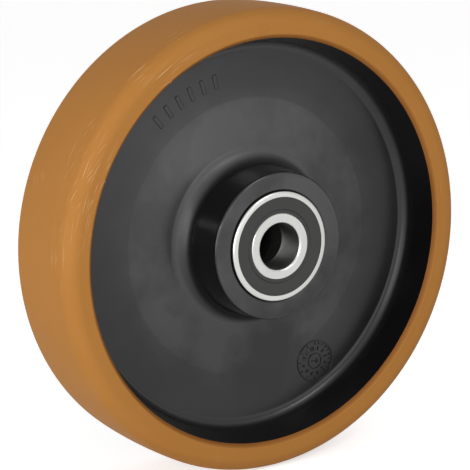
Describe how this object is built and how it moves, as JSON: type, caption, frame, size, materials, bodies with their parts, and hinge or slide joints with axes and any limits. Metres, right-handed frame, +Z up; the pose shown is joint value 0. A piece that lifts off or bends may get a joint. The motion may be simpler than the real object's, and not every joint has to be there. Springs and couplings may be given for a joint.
{
  "type": "pallet truck wheel",
  "caption": "Solid polyurethane tyre moulded on a black plastic wheel centre with sealed ball bearings in its hub, for the steering axle of a hand pallet truck.",
  "frame": {"origin": "the wheel's centre, on the axle's axis and midway between the tyre's side faces", "axes": "+Y along the axle, the pictured front faces -Y, +Z up"},
  "size_m": [0.2, 0.056, 0.2],
  "materials": {
    "polyurethane": "satin",
    "black_plastic": "moulded satin",
    "bearing_steel": "ground",
    "ball_steel": "polished",
    "cage_steel": "pressed",
    "seal_rubber": "matt"
  },
  "bodies": {
    "axle_side": {"front_inner_ring": "bearing_steel", "rear_inner_ring": "bearing_steel"},
    "wheel": {"tyre": "polyurethane", "wheel_centre": "black_plastic", "front_outer_ring": "bearing_steel", "front_outer_seal": "seal_rubber", "front_inner_seal": "seal_rubber", "rear_outer_ring": "bearing_steel", "rear_outer_seal": "seal_rubber", "rear_inner_seal": "seal_rubber"},
    "front_cage": {"front_cage_outer_half": "cage_steel", "front_cage_inner_half": "cage_steel", "front_cage_rivets": "cage_steel"},
    "front_ball_1": {"front_ball_1": "ball_steel"},
    "front_ball_2": {"front_ball_2": "ball_steel"},
    "front_ball_3": {"front_ball_3": "ball_steel"},
    "front_ball_4": {"front_ball_4": "ball_steel"},
    "front_ball_5": {"front_ball_5": "ball_steel"},
    "front_ball_6": {"front_ball_6": "ball_steel"},
    "front_ball_7": {"front_ball_7": "ball_steel"},
    "front_ball_8": {"front_ball_8": "ball_steel"},
    "rear_cage": {"rear_cage_outer_half": "cage_steel", "rear_cage_inner_half": "cage_steel", "rear_cage_rivets": "cage_steel"},
    "rear_ball_1": {"rear_ball_1": "ball_steel"},
    "rear_ball_2": {"rear_ball_2": "ball_steel"},
    "rear_ball_3": {"rear_ball_3": "ball_steel"},
    "rear_ball_4": {"rear_ball_4": "ball_steel"},
    "rear_ball_5": {"rear_ball_5": "ball_steel"},
    "rear_ball_6": {"rear_ball_6": "ball_steel"},
    "rear_ball_7": {"rear_ball_7": "ball_steel"},
    "rear_ball_8": {"rear_ball_8": "ball_steel"}
  },
  "joints": [
    {"name": "wheel_spin", "type": "hinge", "parent": "axle_side", "child": "wheel", "pos_m": [0, 0, 0], "axis": [0, 1, 0], "continuous": true},
    {"name": "front_cage_spin", "type": "hinge", "parent": "axle_side", "child": "front_cage", "pos_m": [0, -0.021, 0], "axis": [0, 1, 0], "continuous": true},
    {"name": "front_ball_1_spin", "type": "hinge", "parent": "front_cage", "child": "front_ball_1", "pos_m": [0.01547, -0.021, 0.00641], "axis": [0, 1, 0], "continuous": true},
    {"name": "front_ball_2_spin", "type": "hinge", "parent": "front_cage", "child": "front_ball_2", "pos_m": [0.00641, -0.021, 0.01547], "axis": [0, 1, 0], "continuous": true},
    {"name": "front_ball_3_spin", "type": "hinge", "parent": "front_cage", "child": "front_ball_3", "pos_m": [-0.00641, -0.021, 0.01547], "axis": [0, 1, 0], "continuous": true},
    {"name": "front_ball_4_spin", "type": "hinge", "parent": "front_cage", "child": "front_ball_4", "pos_m": [-0.01547, -0.021, 0.00641], "axis": [0, 1, 0], "continuous": true},
    {"name": "front_ball_5_spin", "type": "hinge", "parent": "front_cage", "child": "front_ball_5", "pos_m": [-0.01547, -0.021, -0.00641], "axis": [0, 1, 0], "continuous": true},
    {"name": "front_ball_6_spin", "type": "hinge", "parent": "front_cage", "child": "front_ball_6", "pos_m": [-0.00641, -0.021, -0.01547], "axis": [0, 1, 0], "continuous": true},
    {"name": "front_ball_7_spin", "type": "hinge", "parent": "front_cage", "child": "front_ball_7", "pos_m": [0.00641, -0.021, -0.01547], "axis": [0, 1, 0], "continuous": true},
    {"name": "front_ball_8_spin", "type": "hinge", "parent": "front_cage", "child": "front_ball_8", "pos_m": [0.01547, -0.021, -0.00641], "axis": [0, 1, 0], "continuous": true},
    {"name": "rear_cage_spin", "type": "hinge", "parent": "axle_side", "child": "rear_cage", "pos_m": [0, 0.021, 0], "axis": [0, 1, 0], "continuous": true},
    {"name": "rear_ball_1_spin", "type": "hinge", "parent": "rear_cage", "child": "rear_ball_1", "pos_m": [0.01547, 0.021, 0.00641], "axis": [0, 1, 0], "continuous": true},
    {"name": "rear_ball_2_spin", "type": "hinge", "parent": "rear_cage", "child": "rear_ball_2", "pos_m": [0.00641, 0.021, 0.01547], "axis": [0, 1, 0], "continuous": true},
    {"name": "rear_ball_3_spin", "type": "hinge", "parent": "rear_cage", "child": "rear_ball_3", "pos_m": [-0.00641, 0.021, 0.01547], "axis": [0, 1, 0], "continuous": true},
    {"name": "rear_ball_4_spin", "type": "hinge", "parent": "rear_cage", "child": "rear_ball_4", "pos_m": [-0.01547, 0.021, 0.00641], "axis": [0, 1, 0], "continuous": true},
    {"name": "rear_ball_5_spin", "type": "hinge", "parent": "rear_cage", "child": "rear_ball_5", "pos_m": [-0.01547, 0.021, -0.00641], "axis": [0, 1, 0], "continuous": true},
    {"name": "rear_ball_6_spin", "type": "hinge", "parent": "rear_cage", "child": "rear_ball_6", "pos_m": [-0.00641, 0.021, -0.01547], "axis": [0, 1, 0], "continuous": true},
    {"name": "rear_ball_7_spin", "type": "hinge", "parent": "rear_cage", "child": "rear_ball_7", "pos_m": [0.00641, 0.021, -0.01547], "axis": [0, 1, 0], "continuous": true},
    {"name": "rear_ball_8_spin", "type": "hinge", "parent": "rear_cage", "child": "rear_ball_8", "pos_m": [0.01547, 0.021, -0.00641], "axis": [0, 1, 0], "continuous": true}
  ],
  "couplings": [
    {"joint": "front_cage_spin", "follows": "wheel_spin", "ratio": 0.61848},
    {"joint": "front_ball_1_spin", "follows": "wheel_spin", "ratio": 1.9916},
    {"joint": "front_ball_2_spin", "follows": "wheel_spin", "ratio": 1.9916},
    {"joint": "front_ball_3_spin", "follows": "wheel_spin", "ratio": 1.9916},
    {"joint": "front_ball_4_spin", "follows": "wheel_spin", "ratio": 1.9916},
    {"joint": "front_ball_5_spin", "follows": "wheel_spin", "ratio": 1.9916},
    {"joint": "front_ball_6_spin", "follows": "wheel_spin", "ratio": 1.9916},
    {"joint": "front_ball_7_spin", "follows": "wheel_spin", "ratio": 1.9916},
    {"joint": "front_ball_8_spin", "follows": "wheel_spin", "ratio": 1.9916},
    {"joint": "rear_cage_spin", "follows": "wheel_spin", "ratio": 0.61848},
    {"joint": "rear_ball_1_spin", "follows": "wheel_spin", "ratio": 1.9916},
    {"joint": "rear_ball_2_spin", "follows": "wheel_spin", "ratio": 1.9916},
    {"joint": "rear_ball_3_spin", "follows": "wheel_spin", "ratio": 1.9916},
    {"joint": "rear_ball_4_spin", "follows": "wheel_spin", "ratio": 1.9916},
    {"joint": "rear_ball_5_spin", "follows": "wheel_spin", "ratio": 1.9916},
    {"joint": "rear_ball_6_spin", "follows": "wheel_spin", "ratio": 1.9916},
    {"joint": "rear_ball_7_spin", "follows": "wheel_spin", "ratio": 1.9916},
    {"joint": "rear_ball_8_spin", "follows": "wheel_spin", "ratio": 1.9916}
  ]
}
